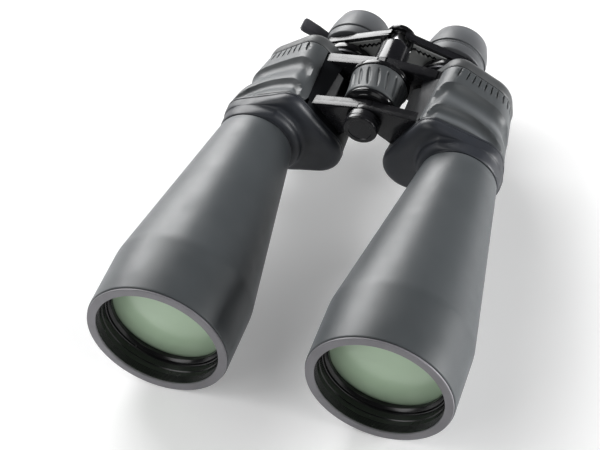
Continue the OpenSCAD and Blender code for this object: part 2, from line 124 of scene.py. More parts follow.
def vary(made, color, scale, amount):
    """Lets the colour wander a little lighter and darker."""
    shader = made.node_tree.nodes["Principled BSDF"]
    ramp = add(made, "ShaderNodeValToRGB")
    ramp.color_ramp.elements[0].position = 0.3
    ramp.color_ramp.elements[1].position = 0.7
    ramp.color_ramp.elements[0].color = (*[c * (1 - amount) for c in color], 1)
    ramp.color_ramp.elements[1].color = (*[c * (1 + amount) for c in color], 1)
    wire(made, noise(made, scale), "Fac", ramp, "Fac")
    wire(made, ramp, "Color", shader, "Base Color")


def roughen(made, low, high, scale):
    """Lets the roughness wander between low and high."""
    shader = made.node_tree.nodes["Principled BSDF"]
    spread = add(made, "ShaderNodeMapRange")
    spread.inputs["From Min"].default_value = 0.3
    spread.inputs["From Max"].default_value = 0.7
    spread.inputs["To Min"].default_value = low
    spread.inputs["To Max"].default_value = high
    wire(made, noise(made, scale), "Fac", spread, "Value")
    wire(made, spread, "Result", shader, "Roughness")


def grain(made, scale, height):
    """Fine moulded grain: a bump of that height in metres."""
    shader = made.node_tree.nodes["Principled BSDF"]
    bump = add(made, "ShaderNodeBump")
    bump.inputs["Strength"].default_value = 0.5
    bump.inputs["Distance"].default_value = height
    wire(made, noise(made, scale, 2.0), "Fac", bump, "Height")
    wire(made, bump, "Normal", shader, "Normal")


def rubber(name, color, roughness, height=0.00004):
    made = material(name, color, roughness, Specular_IOR_Level=0.5,
                    Sheen_Weight=0.2, Sheen_Roughness=0.45, Sheen_Tint=(0.8, 0.85, 0.9, 1))
    vary(made, color, 35, 0.06)
    roughen(made, roughness - 0.04, roughness + 0.05, 60)
    grain(made, 2600, height)
    return made


def satin(name, color, roughness, metallic=0.0, height=0.00001, **sockets):
    made = material(name, color, roughness, metallic, **sockets)
    vary(made, color, 50, 0.1)
    roughen(made, max(0.03, roughness - 0.05), roughness + 0.06, 120)
    grain(made, 4000, height)
    return made


def coated_glass(name, color, roughness, metallic):
    """Glass drawn opaque: the coating's tinted reflection is painted into its base colour, and this painted
    reflection turns a little darker at the edge, where the surface turns from view.
    """
    made = material(name, color, roughness, metallic, Specular_IOR_Level=0.6)
    facing = add(made, "ShaderNodeLayerWeight")
    facing.inputs["Blend"].default_value = 0.35
    # painted reflection: the base colour stands in for the coating's reflection and dims to 0.8 towards
    # grazing view
    ramp = add(made, "ShaderNodeValToRGB")
    ramp.color_ramp.elements[0].color = (*color, 1)
    ramp.color_ramp.elements[1].color = (*[0.8 * c for c in color], 1)
    wire(made, facing, "Facing", ramp, "Fac")
    wire(made, ramp, "Color", made.node_tree.nodes["Principled BSDF"], "Base Color")
    return made


BARREL_RUBBER = rubber("barrel_rubber", (0.050, 0.056, 0.060), 0.42)
HOUSING_RUBBER = rubber("housing_rubber", (0.050, 0.055, 0.058), 0.44)
WHEEL_RUBBER = rubber("wheel_rubber", (0.06, 0.065, 0.068), 0.46)
EYECUP_RUBBER = rubber("eyecup_rubber", (0.074, 0.077, 0.082), 0.45)
COVER = satin("cover_black", (0.024, 0.027, 0.034), 0.46, height=0.00003)
REAR_COVER = satin("rear_cover", (0.065, 0.068, 0.07), 0.45, height=0.00003)
CASTING = satin("casting_black", (0.008, 0.009, 0.011), 0.5, Specular_IOR_Level=0.17)
BRIDGE = satin("bridge_black", (0.012, 0.012, 0.014), 0.25, height=0.000003)
GLOSS = satin("gloss_black", (0.008, 0.008, 0.009), 0.14, height=0.000002)
SLEEVE = satin("sleeve_black", (0.01, 0.01, 0.012), 0.19, height=0.000002)
RING_GREY = satin("ring_grey", (0.19, 0.185, 0.2), 0.45)
CELL = satin("cell_black", (0.008, 0.008, 0.009), 0.22, height=0.000002)
CAP = satin("cap_black", (0.012, 0.012, 0.014), 0.25)
LEVER = satin("lever_plastic", (0.05, 0.05, 0.058), 0.42)
LEVER_GRAIN = satin("lever_grain", (0.045, 0.044, 0.052), 0.5, height=0.00035)
TUBE = satin("barrel_alloy", (0.05, 0.05, 0.055), 0.4, 0.6)
STEEL = satin("steel", (0.45, 0.45, 0.46), 0.2, 1.0, height=0.000002)
SHAFT = satin("shaft_steel", (0.6, 0.6, 0.61), 0.34, 1.0, height=0.000002)
BAND = satin("band_steel", (0.25, 0.256, 0.25), 0.5, 0.3)
BRASS = satin("brass", (0.6, 0.42, 0.18), 0.3, 1.0)
# painted reflection and painted light: the objective glass's pale green base colour stands in for the
# coating's reflection, and it is made lighter to make up for the shade in its deep black cell; the eyepiece
# and prism glass also carry their reflection as painted colour
LENS_PAINTED_REFLECTION = coated_glass("coated_glass", (0.53, 0.70, 0.50), 0.2, 0.0)
EYE_GLASS = coated_glass("eye_glass", (0.05, 0.06, 0.09), 0.04, 0.2)
PRISM_GLASS = coated_glass("prism_glass", (0.5, 0.55, 0.55), 0.04, 0.0)


# ---------- mesh helpers ----------

def piece(name, points, faces, look, body, stands_for=(), slot=None, crease=32, side=1):
    """A mesh from points in the part's measures, mirrored to the right where side is -1."""
    mesh = bpy.data.meshes.new(name)
    mesh.from_pydata([((side * p[0]) * MM, (p[1] + ORIGIN.y) * MM, (p[2] + ORIGIN.z) * MM)
                      for p in points], [], faces)
    work = bmesh.new()
    work.from_mesh(mesh)
    bmesh.ops.remove_doubles(work, verts=work.verts, dist=1e-7)
    bmesh.ops.recalc_face_normals(work, faces=work.faces)
    work.to_mesh(mesh)
    work.free()
    mesh.materials.append(look)
    mesh.shade_smooth()
    mesh.set_sharp_from_angle(angle=math.radians(crease))
    made = bpy.data.objects.new(name, mesh)
    scene.collection.objects.link(made)
    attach(made, body)
    if stands_for:
        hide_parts(*stands_for)
    return made


def joined(*shells):
    """One (points, faces) from several."""
    points, faces = [], []
    for more_points, more_faces in shells:
        base = len(points)
        points += list(more_points)
        faces += [tuple(base + i for i in face) for face in more_faces]
    return points, faces


def soft(points, radius, steps=4):
    """A closed outline with each corner rounded by an arc-like curve of about that radius."""
    made = []
    count = len(points)
    for i, here in enumerate(points):
        here = Vector(here)
        before, after = Vector(points[i - 1]), Vector(points[(i + 1) % count])
        to_before, to_after = before - here, after - here
        if here.x < 1e-6 or to_before.length < 1e-6 or to_after.length < 1e-6:
            made.append(tuple(here))
            continue
        reach = min(radius, 0.45 * to_before.length, 0.45 * to_after.length)
        start = here + to_before.normalized() * reach
        end = here + to_after.normalized() * reach
        for k in range(steps + 1):
            t = k / steps
            made.append(tuple(start * (1 - t) ** 2 + here * 2 * t * (1 - t) + end * t ** 2))
    return made


def lathe(axis, profile, segments=144, shape=None):
    """Points and faces of a closed (radius, y) profile turned about an axis parallel to Y.
    shape(turn, radius, y) gives the radius where the surface isn't round."""
    points, faces = [], []
    count = len(profile)
    for i in range(segments):
        turn = 2 * math.pi * i / segments
        for radius, y in profile:
            r = shape(turn, radius, y) if shape else radius
            points.append((axis[0] + r * math.cos(turn), y, axis[1] + r * math.sin(turn)))
    for i in range(segments):
        for k in range(count):
            a, b = i * count + k, i * count + (k + 1) % count
            c, d = ((i + 1) % segments) * count + (k + 1) % count, ((i + 1) % segments) * count + k
            if profile[k][0] > 1e-6 or profile[(k + 1) % count][0] > 1e-6:
                faces.append((a, b, c, d))
    return points, faces


def loft(rings, cap_start=True, cap_end=True):
    """Points and faces of a skin through closed rings of equal length."""
    points = [p for ring in rings for p in ring]
    count = len(rings[0])
    faces = []
    for j in range(len(rings) - 1):
        for i in range(count):
            a, b = j * count + i, j * count + (i + 1) % count
            faces.append((a, b, b + count, a + count))
    if cap_start:
        faces.append(tuple(range(count)))
    if cap_end:
        faces.append(tuple(range((len(rings) - 1) * count, len(rings) * count)))
    return points, faces


def tube_loft(rings):
    """Points and faces of a closed skin whose rings follow each other round a circle."""
    points = [p for ring in rings for p in ring]
    count = len(rings[0])
    faces = []
    for j in range(len(rings)):
        following = (j + 1) % len(rings)
        for i in range(count):
            after = (i + 1) % count
            faces.append((j * count + i, j * count + after, following * count + after,
                          following * count + i))
    return points, faces


def inward(flat):
    """For each point of a closed outline, the step that moves its edges inwards by 1."""
    count = len(flat)
    area = sum(flat[i - 1].x * flat[i].y - flat[i].x * flat[i - 1].y for i in range(count))
    turn = 1 if area > 0 else -1
    made = []
    for i in range(count):
        before = (flat[i] - flat[i - 1]).normalized()
        after = (flat[(i + 1) % count] - flat[i]).normalized()
        normal = Vector((-(before.y + after.y), before.x + after.x)) * turn
        share = max(0.3, (1 + before.dot(after)) / 2)
        made.append(normal.normalized() / math.sqrt(share) if normal.length > 1e-6 else normal)
    return made


def plate(flat, levels, place):
    """A solid through copies of a flat outline: levels are (height, inset) and
    place(a, b, height) puts a point in space."""
    flat = [Vector(p) for p in flat]
    steps = inward(flat)
    return loft([[place(p.x + n.x * inset, p.y + n.y * inset, height)
                  for p, n in zip(flat, steps)] for height, inset in levels])


def slab(flat, y0, y1, front=0.4, rear=0.4, steps=3):
    """An XZ outline as a plate between y0 and y1, with its front and rear edges rounded."""
    levels = []
    for k in range(steps + 1):
        a = math.pi / 2 * k / steps
        levels.append((y0 + front * (1 - math.cos(a)), front * (1 - math.sin(a))))
    for k in range(steps, -1, -1):
        a = math.pi / 2 * k / steps
        levels.append((y1 - rear * (1 - math.cos(a)), rear * (1 - math.sin(a))))
    if front == 0:
        levels = levels[steps:]
    if rear == 0:
        levels = levels[:-steps]
    return plate(flat, levels, lambda a, b, height: (a, height, b))


def arc(centre, radius, start, end, steps):
    """Points from one angle in degrees to another, about a centre."""
    return [(centre[0] + radius * math.cos(math.radians(start + (end - start) * k / steps)),
             centre[1] + radius * math.sin(math.radians(start + (end - start) * k / steps)))
            for k in range(steps + 1)]


def smooth_step(low, high, value):
    t = min(1.0, max(0.0, (value - low) / (high - low)))
    return t * t * (3 - 2 * t)


def tangent(a, b):
    """Angle of the normal of the outer tangent from circle a to circle b."""
    along = Vector((b[0] - a[0], b[1] - a[1]))
    return math.atan2(along.y, along.x) - math.acos((a[2] - b[2]) / along.length)


def outline(corners, inset=0.0, per_arc=14, per_line=10):
    """Points (x, z) round a housing, with as many on each stretch whatever the circles."""
    made = []
    count = len(corners)
    for i, circle in enumerate(corners):
        start = tangent(corners[i - 1], circle)
        end = tangent(circle, corners[(i + 1) % count])
        end = start + (end - start) % (2 * math.pi)
        bend = [Vector((circle[0], circle[1])) + (circle[2] - inset)
                * Vector((math.cos(start + (end - start) * k / per_arc),
                          math.sin(start + (end - start) * k / per_arc))) for k in range(per_arc + 1)]
        following = corners[(i + 1) % count]
        goal = Vector((following[0], following[1])) + (following[2] - inset) * Vector(
            (math.cos(end), math.sin(end)))
        made += bend
        made += [bend[-1].lerp(goal, k / per_line) for k in range(1, per_line)]
    return made


def reach_of(edge, centre, turn):
    """Distance from a point inside a closed outline to its edge in one direction."""
    way = Vector((math.cos(turn), math.sin(turn)))
    best = 0.0
    for a, b in zip(edge, edge[1:] + edge[:1]):
        a, b = a - Vector(centre), b - Vector(centre)
        across = b - a
        bottom = way.x * across.y - way.y * across.x
        if abs(bottom) < 1e-9:
            continue
        along = (a.x * across.y - a.y * across.x) / bottom
        share = (a.x * way.y - a.y * way.x) / bottom
        if along > 0 and -1e-6 <= share <= 1 + 1e-6:
            best = max(best, along)
    return best


# ---------- objectives ----------

def sag(r, big):
    return big - math.sqrt(big * big - r * r)


BORE_R, RIDGE_R, RIDGE_PITCH, RIDGE_COUNT = 38.6, 39.0, 0.9, 5
RING_T = 1.4
OUTER_R = (local("objective_ring_left")[1].x - local("objective_ring_left")[0].x) / 2
GLASS_R, GLASS_Y, GLASS_CURVE = 37.4, 15.5, 160

for side, sign in SIDES:
    half = side + "_half"
    piece("front_ring_" + side, *lathe(OBJECTIVE, soft(
        [(BORE_R, RING_T), (BORE_R, 0.0), (OUTER_R, 0.0), (OUTER_R, RING_T)], 0.5)),
        RING_GREY, half, ["objective_ring_" + side], "ring_grey", side=sign)
    ridges = [(BORE_R, RING_T)]
    for k in range(RIDGE_COUNT):
        y = RIDGE_PITCH * k
        ridges += [(BORE_R, 2.2 + y), (RIDGE_R, 2.45 + y), (BORE_R, 2.7 + y)]
    piece("cell_" + side, *lathe(OBJECTIVE, ridges + [
        (BORE_R, 9.5), (38.1, 10.0), (38.1, 14.0), (37.6, 14.3), (37.6, 34), (40.9, 34),
        (40.9, RING_T)]),
        CELL, half, ["objective_cell_" + side], "cell_black", side=sign)
    piece("retainer_" + side, *lathe(OBJECTIVE, soft(
        [(36.6, 14.9), (37.5, 14.9), (37.5, 19), (35.0, 19), (35.0, 16.4)], 0.3)),
        CELL, half, ["lens_retainer_" + side], "cell_black", side=sign)
    # the front lens's colour is a painted reflection, made lighter to make up for the shade in its cell
    front = [(GLASS_R * k / 24, GLASS_Y + sag(GLASS_R * k / 24, GLASS_CURVE)) for k in range(25)]
    piece("front_lens_" + side, *lathe(OBJECTIVE, front + [(GLASS_R, 24), (0, 27)]),
          LENS_PAINTED_REFLECTION, half, ["crown_lens_" + side], "coated_glass", side=sign)


# ---------- barrels ----------

SLOPE = (BELL_R - CONE_R) / (CONE_END - BELL_LEN)


def barrel_profile():
    made = [(42.9, 1.8), (43.6, 1.5), (44.2, 1.6), (44.6, 2.1), (BELL_R, 3.0), (BELL_R, 20)]
    bend = 3
    for k in range(9):
        t = k / 8
        made.append((BELL_R - SLOPE * bend * t * t, BELL_LEN - bend + 2 * bend * t))
    made += [(BELL_R - SLOPE * (y - BELL_LEN), y) for y in range(60, 170, 15)]
    made += [(CONE_R + 0.1, CONE_END - 0.9), (CONE_R - 0.15, CONE_END - 0.3), (CONE_R - 0.7, CONE_END)]
    return made + [(CONE_R - 1.8, CONE_END), (42.9, BELL_LEN)]


for side, sign in SIDES:
    piece("barrel_skin_" + side, *lathe(OBJECTIVE, barrel_profile(), 192), BARREL_RUBBER,
          side + "_half", ["barrel_rubber_" + side], "barrel_rubber", side=sign)


# ---------- prism covers ----------

def front_cover_profile(reach):
    """(distance from the tube, y) round the cover's section, for an overhang of that size: a
    convex roll beside the tube, a hollow, and a soft shoulder."""
    roll, fillet, shoulder = 4.2, 3.5, 6.0
    share = min(1.0, max(reach, 0.0) / (roll + fillet + shoulder + 1.0))
    roll_y, face_y = CONE_END + 5.3, 181.5
    points = [(-1.2, SEAM_FRONT), (-1.2, CONE_END + 0.4), (0.0, CONE_END + 0.4), (0.25, CONE_END + 0.7)]
    for k in range(1, 10):
        a = math.pi / 2 * k / 9
        points.append((0.25 + roll * share * math.sin(a),
                       CONE_END + 0.7 + (roll_y - CONE_END - 0.7) * (1 - math.cos(a))))
    start = 0.25 + (roll + fillet) * share
    for k in range(1, 8):
        a = math.pi / 2 * k / 7
        points.append((start - fillet * share * math.cos(a), roll_y + (face_y - roll_y) * math.sin(a)))
    edge = reach - shoulder * share
    points += [(start + (edge - start) * k / 4, face_y) for k in range(1, 4)]
    for k in range(9):
        a = math.pi / 2 * k / 8
        points.append((edge + shoulder * share * math.sin(a), face_y + 5.0 * (1 - math.cos(a))))
    return points + [(reach, 187.6), (reach - 0.35, 188.0), (reach - 0.35, 188.3), (reach + 0.1, 188.7),
                     (reach + 0.1, SEAM_FRONT - 0.3), (reach - 0.3, SEAM_FRONT - 0.05),
                     (reach - 3 * share, SEAM_FRONT)]


def front_cover(turns=240):
    edge = outline(FRONT_CORNERS)
    rings = []
    for i in range(turns):
        turn = 2 * math.pi * i / turns
        reach = max(reach_of(edge, OBJECTIVE, turn) - CONE_R, 0.4)
        rings.append([(OBJECTIVE[0] + (CONE_R + r) * math.cos(turn), y,
                       OBJECTIVE[1] + (CONE_R + r) * math.sin(turn))
                      for r, y in front_cover_profile(reach)])
    return tube_loft(rings)


TUBE_HOLE = 16.5
BOSS = 18.8


def rear_cover(turns=200):
    """The rear cover: a soft-edged dish round the eyepiece tube."""
    edge = outline(REAR_CORNERS)
    rings = []
    for i in range(turns):
        turn = 2 * math.pi * i / turns
        reach = max(reach_of(edge, EYEPIECE, turn), BOSS)
        share = min(1.0, (reach - TUBE_HOLE) / 12)
        section = [(TUBE_HOLE, SEAM_REAR), (TUBE_HOLE, COVER_END - 0.3), (TUBE_HOLE + 0.4, COVER_END),
                   (BOSS - 0.3, COVER_END), (BOSS, COVER_END - 0.2)]
        drop, wide = 7.0, 9.0 * share
        for k in range(10):
            a = math.pi / 2 * k / 9
            section.append((max(reach - wide * (1 - math.sin(a)), BOSS + 0.02 * k),
                            COVER_END - 0.3 - drop * (1 - math.cos(a))))
        section += [(reach, SEAM_REAR + 0.9), (reach - 0.3, SEAM_REAR + 0.25), (reach - 0.9, SEAM_REAR)]
        rings.append([(EYEPIECE[0] + r * math.cos(turn), y, EYEPIECE[1] + r * math.sin(turn))
                      for r, y in section])
    return tube_loft(rings)


def screw_head(centre, y):
    """A domed head with a round recess."""
    profile = [(0, y - 1.6), (2.2, y - 1.6), (2.2, y - 0.4), (2.0, y), (1.5, y + 0.25), (0.7, y + 0.35),
               (0.55, y - 0.3), (0, y - 0.3)]
    return lathe(centre, profile, 32)


SCREWS = [(REAR_CORNERS[i][0] + (REAR_CORNERS[i][2] - 6.4) * math.cos(math.radians(a)),
           REAR_CORNERS[i][1] + (REAR_CORNERS[i][2] - 6.4) * math.sin(math.radians(a)))
          for i, a in ((1, 120), (0, 10), (3, -95))]

front_cover_mesh, rear_cover_mesh = front_cover(), rear_cover()
for side, sign in SIDES:
    half = side + "_half"
    piece("cover_" + side, *front_cover_mesh, COVER, half, ["front_cover_" + side], "cover_black",
          side=sign, crease=40)
    piece("rear_dish_" + side, *rear_cover_mesh, REAR_COVER, half, ["rear_cover_" + side],
          "cover_black", side=sign, crease=40)
    piece("screws_" + side, *joined(*[screw_head(c, COVER_END) for c in SCREWS]), STEEL, half,
          ["cover_screws_" + side], "axle_steel", side=sign)


# ---------- armour ----------

def finger_groove(x, z, y):
    """Depth of the two finger grooves: a crisp rear edge, hooked at its inner end, and a hollow
    that runs out forward."""
    depth, hook, side_wall = 0.0, 8.0, 4.0
    for crest_x, crest_y, length, deepest, fall_in, fall_out in ((60, 228.0, 21.5, 3.2, 0.008, 0.008),
                                                                 (64, 206.0, 15.5, 2.8, 0.009, 0.019)):
        fall = fall_in if x < crest_x else fall_out
        ahead = crest_y - fall * (x - crest_x) ** 2 - y
        beside = x - 41.5
        if beside <= 0:
            continue
        if beside < hook:
            ahead -= hook - math.sqrt(hook ** 2 - (hook - beside) ** 2)
        if not 0 < ahead < length:
            continue
        share = ahead / length
        hollow = 6.75 * share * (1 - share) ** 2
        wall = 1 - (1 - min(beside / side_wall, 1.0)) ** 2
        depth = max(depth, deepest * hollow * wall)
    return depth * smooth_step(-16, 2, z)


SLOT_FIRST, SLOT_PITCH, SLOT_COUNT = 13.5, 6.2, 12


def slot_groove(along, y):
    """Depth of the row of short grooves near the rear seam."""
    index = min(max(round((along - SLOT_FIRST) / SLOT_PITCH), 0), SLOT_COUNT - 1)
    off = abs(along - SLOT_FIRST - index * SLOT_PITCH)
    width = 1.05 * math.sqrt(max(0.0, 1 - ((y - 238.6) / 4.3) ** 2))
    return 1.1 * (1 - smooth_step(0.2 * width, width, off)) if width > 0.05 else 0.0


def armour():
    """The rubber on a housing: a fine grid over the outline, sunk at the grooves and its rim."""
    stages = [[outline(corners, inset, 30, 24) for inset in (0, ARMOUR)]
              for corners in (FRONT_CORNERS, REAR_CORNERS)]
    shape = stages[0][0]
    count = len(shape)
    crest = min((i for i in range(count) if shape[i].y > 0 and shape[i].x > 30), key=lambda i: shape[i].x)
    order = [(crest - k) % count for k in range(count)]
    order = [i for i in order if shape[i].x > 30]
    travel = [0.0]
    for a, b in zip(order, order[1:]):
        travel.append(travel[-1] + (shape[b] - shape[a]).length)

    def at(along, t, deep):
        k = max(0, min(len(travel) - 2, next((j for j, s in enumerate(travel) if s > along), 1) - 1))
        share = (along - travel[k]) / (travel[k + 1] - travel[k])
        front, rear = stages[0][deep], stages[1][deep]
        a = front[order[k]].lerp(front[order[k + 1]], share)
        b = rear[order[k]].lerp(rear[order[k + 1]], share)
        return a.lerp(b, t)

    start = next(s for s in (0.1 * k for k in range(400)) if at(s, 0, 0).x > ARMOUR_EDGE_X)
    end = travel[-1] - 0.01
    columns = [start + (end - start) * k / 90 for k in range(91)]
    columns += [start + SLOT_FIRST + SLOT_PITCH * k + off for k in range(SLOT_COUNT)
                for off in (-1, -0.7, -0.45, -0.2, 0, 0.2, 0.45, 0.7, 1)]
    columns += [start + rim for rim in (0.15, 0.4, 0.75, 1.2)]
    columns.sort()
    columns = [s for s, before in zip(columns, [-9] + columns) if s - before > 0.08]
    y0, y1 = SEAM_FRONT + 0.3, SEAM_REAR - 0.3
    rows = [y0 + (y1 - y0) * k / 140 for k in range(141)]
    for end_y, way in ((y0, 1), (y1, -1)):
        rows += [end_y + way * rim for rim in (0.12, 0.25, 0.6)]
    rows.sort()
    corner = 6.0
    grid = []
    for y in rows:
        t = (y - SEAM_FRONT) / (SEAM_REAR - SEAM_FRONT)
        off_front = min(y - y0, corner)
        shift = corner - math.sqrt(corner ** 2 - (corner - off_front) ** 2)
        line = []
        for s in columns:
            along = s + shift * max(0.0, 1 - (s - start) / 14)
            out, deep = at(along, t, 0), at(along, t, 1)
            sink = finger_groove(out.x, out.y, y) + slot_groove(s - start, y)
            rim = min(y - y0, y1 - y, s - start, end - s)
            if rim < 1.0:
                sink += 1.0 - math.sqrt(max(0.0, 1 - (1 - rim) ** 2))
            place = out.lerp(deep, min(sink / ARMOUR, 1.0))
            line.append((place, deep))
        grid.append([(line[0][1].x, y, line[0][1].y)] + [(p.x, y, p.y) for p, _ in line]
                    + [(line[-1][1].x, y, line[-1][1].y)])
        if y in (rows[0], rows[-1]):
            grid.append([(d.x, y, d.y) for d in [line[0][1]] + [d for _, d in line] + [line[-1][1]]])
    # the deep line of the first row comes before it
    grid[0], grid[1] = grid[1], grid[0]
    across = len(grid[0])
    points = [p for line in grid for p in line]
    faces = [(j * across + i, j * across + i + 1, (j + 1) * across + i + 1, (j + 1) * across + i)
             for j in range(len(grid) - 1) for i in range(across - 1)]
    return points, faces


armour_mesh = armour()
for side, sign in SIDES:
    piece("armour_" + side, *armour_mesh, HOUSING_RUBBER, side + "_half", ["housing_rubber_" + side],
          "housing_rubber", side=sign, crease=50)


# ---------- castings and hinge bridges ----------

FLANGE_X, FLANGE_Z, FLANGE_T = 23.3, 20.0, 1.6
FLANGE_CUT = (226, 232)     # where its rear corner starts and ends, along y
FLANGE_FRONT, FLANGE_ROOT = 195, 38
WALLS = ((FLANGE_FRONT, 37.3, 26.6, 30.9), (235.7, 39.0, 24.8, 27.6))   # y, top x, top z, foot x


def casting():
    """Body of the housing: deep under the armour, and almost flush with it towards the hinge."""
    per_arc, per_line = 14, 10
    top, low = 2 * per_arc + per_line, 2 * (per_arc + per_line)
    rings = []
    share = None
    for corners, y in ((FRONT_CORNERS, SEAM_FRONT), (REAR_CORNERS, SEAM_REAR)):
        deep, flush = (outline(corners, inset, per_arc, per_line) for inset in (ARMOUR + 0.3, 0.4))
        if share is None:       # the front ring says where both step out to the armour's edge
            share = (flush[top].x - ARMOUR_EDGE_X) / (flush[top].x - flush[low].x) + 0.02
        ring = deep[:top] + [deep[top].lerp(deep[low], share), flush[top].lerp(flush[low], share)]
        ring += flush[low:low + per_arc + 1] + deep[low + per_arc + 2:]
        rings.append([(p.x, y, p.y) for p in ring])
    return loft(rings)


KNUCKLE_R = 11.0
BRIDGE_T = 8.3
FALL = 0.105                # drop of a plate's top edge for each millimetre outwards
# y of the front face, and x of the outer end at four heights, from the top down
BRIDGES = {"front": (194.0, (38.8, 35, 26, 19)), "rear": (235.8, (41.0, 37.6, 27.0, 20))}
TOP = HINGE[1] + KNUCKLE_R


def bridge_end(ends):
    """The plate's outline from the hinge's underside round its outer end to its top edge."""
    return [(10, 5.2), (15, 1.6), (ends[3], -2), (ends[2], 7), (ends[1], 20),
            (ends[0], TOP - FALL * ends[0])]


def bridge(which, own):
    """A hinge plate: own 0 has the front half of the knuckle, own 1 the rear half. On the rear
    bridge own 1 has a tab on top, with a notch beside it."""
    y0, ends = BRIDGES[which]
    split = y0 + BRIDGE_T / 2
    full = bridge_end(ends) + arc(HINGE, KNUCKLE_R, 90, 309.5, 40)
    bare = bridge_end(ends) + arc(HINGE, KNUCKLE_R + 0.4, 67.7, -50.3, 24)
    front, rear = (full, bare) if own == 0 else (bare, full)
    if which == "rear" and own == 1:
        notch = [(5.4, TOP - 0.57), (5.4, TOP - 2.2), (4.3, TOP - 2.2)]
        tab = [(4.1, TOP + 0.1), (-0.2, TOP + 0.3), (-0.3, TOP - 1.0)]
        rear = bridge_end(ends) + notch + tab
        rear += arc(HINGE, KNUCKLE_R - 1.0, 92, 309.5, 40)
    return joined(slab(front, y0, split - 0.15, 0.45, 0.12),
                  slab(rear, split - 0.15, y0 + BRIDGE_T, 0, 0.3))


def raised_top():
    """The left plate's raised top on the rear bridge."""
    y0, far = BRIDGES["rear"][0], 36.0
    top = [(1.9, TOP + 0.6), (far, TOP + 0.6 - FALL * far), (far, TOP - 1.0 - FALL * far)]
    top += arc(HINGE, KNUCKLE_R + 0.15, 66, 80, 4)
    return slab(top, y0 + 0.3, y0 + BRIDGE_T - 0.3, 0.25, 0.25)


def flange():
    """Web of the casting between the two bridges, beside the focus wheel, and the wall above it."""
    edge = [(FLANGE_X, FLANGE_FRONT), (FLANGE_ROOT, FLANGE_FRONT), (FLANGE_ROOT, FLANGE_CUT[1] + 6),
            (FLANGE_X + 7, FLANGE_CUT[1]), (FLANGE_X, FLANGE_CUT[0])]
    web = plate(edge, [(-FLANGE_T, 0.3), (-FLANGE_T + 0.3, 0), (-0.3, 0), (0, 0.3)],
                lambda a, b, height: (a, b, FLANGE_Z + height))
    low = FLANGE_Z - FLANGE_T + 0.2
    wall = [[(top_x, y, top_z), (foot, y, FLANGE_Z + 0.1), (foot, y, low), (FLANGE_ROOT, y, low)]
            for y, top_x, top_z, foot in WALLS]
    return joined(web, loft(wall))


casting_mesh = joined(casting(), flange())
for side, sign in SIDES:
    own = 0 if side == "left" else 1
    half = side + "_half"
    piece("casting_" + side, *casting_mesh, CASTING, half, ["prism_housing_" + side], "bridge_black",
          side=sign)
    piece("front_bridge_" + side, *bridge("front", own), BRIDGE, half, (), "bridge_black", side=sign)
    rear_bridge = bridge("rear", own) if own else joined(bridge("rear", own), raised_top())
    piece("rear_bridge_" + side, *rear_bridge, BRIDGE, half, (), "bridge_black", side=sign)


# ---------- hinge cap and focus wheel ----------

CAP_LOW, CAP_HIGH = local("hinge_cap")
CAP_R = CAP_HIGH.x
CAP_REAR = 193.0
piece("cap", *lathe(HINGE, [(0, CAP_LOW.y + 0.5), (7.6, CAP_LOW.y + 0.5), (8.0, CAP_LOW.y + 0.1)] + soft(
    [(8.2, CAP_LOW.y), (CAP_R - 0.9, CAP_LOW.y), (CAP_R - 0.1, CAP_LOW.y + 0.9), (CAP_R, CAP_LOW.y + 3.4)],
    0.5)[5:-5] + [(CAP_R, CAP_LOW.y + 3.2), (CAP_R - 0.35, CAP_LOW.y + 3.5), (CAP_R - 0.35, CAP_LOW.y + 3.9),
                  (CAP_R, CAP_LOW.y + 4.2), (CAP_R, CAP_REAR - 0.3), (CAP_R - 0.3, CAP_REAR),
                  (3.0, CAP_REAR), (3.0, 200.5), (0, 200.5)]), CAP, "hinge_cap", ["hinge_cap"], "cap_black")

AXLE_R, AXLE_END, SLEEVE_R, NECK_R, PIN_R, SHAFT_R = 5.3, 261.0, 10.5, 5.1, 4.5, 3.6
SLEEVE_Y = (244.4, 268.0)
SHAFT_Y = (212.0, 265.0, 272.2, 280.6)
piece("sleeve", *lathe(HINGE, [
    (AXLE_R, SLEEVE_Y[0]), (SLEEVE_R - 0.4, SLEEVE_Y[0]), (SLEEVE_R, SLEEVE_Y[0] + 0.6), (SLEEVE_R, 262.8),
    (SLEEVE_R - 0.15, 263.8), (SLEEVE_R - 0.9, 265.5), (SLEEVE_R - 2.2, 267.0), (SLEEVE_R - 3.4, 267.8),
    (SLEEVE_R - 4.2, SLEEVE_Y[1]), (NECK_R + 0.4, SLEEVE_Y[1]), (NECK_R + 0.4, AXLE_END),
    (AXLE_R, AXLE_END)], 128), SLEEVE, "left_half", ["rear_sleeve"], "gloss_black")
key = plate([(-1.4, 214), (1.4, 214), (1.4, 219), (-1.4, 219)], [(0, 0), (4.6, 0), (4.9, 0.3)],
            lambda a, b, height: (a, b, HINGE[1] + height))
piece("shaft", *joined(lathe(HINGE, [
    (0, SHAFT_Y[0]), (SHAFT_R - 0.4, SHAFT_Y[0]), (SHAFT_R, SHAFT_Y[0] + 0.4), (SHAFT_R, SHAFT_Y[1]),
    (NECK_R - 0.3, SHAFT_Y[1] + 0.6), (NECK_R, SHAFT_Y[1] + 1.0), (NECK_R, SHAFT_Y[2] - 0.7),
    (PIN_R, SHAFT_Y[2]), (PIN_R, SHAFT_Y[3]), (0, SHAFT_Y[3])], 96), key),
    SHAFT, "left_eyepiece", ["focus_shaft"], "axle_steel")

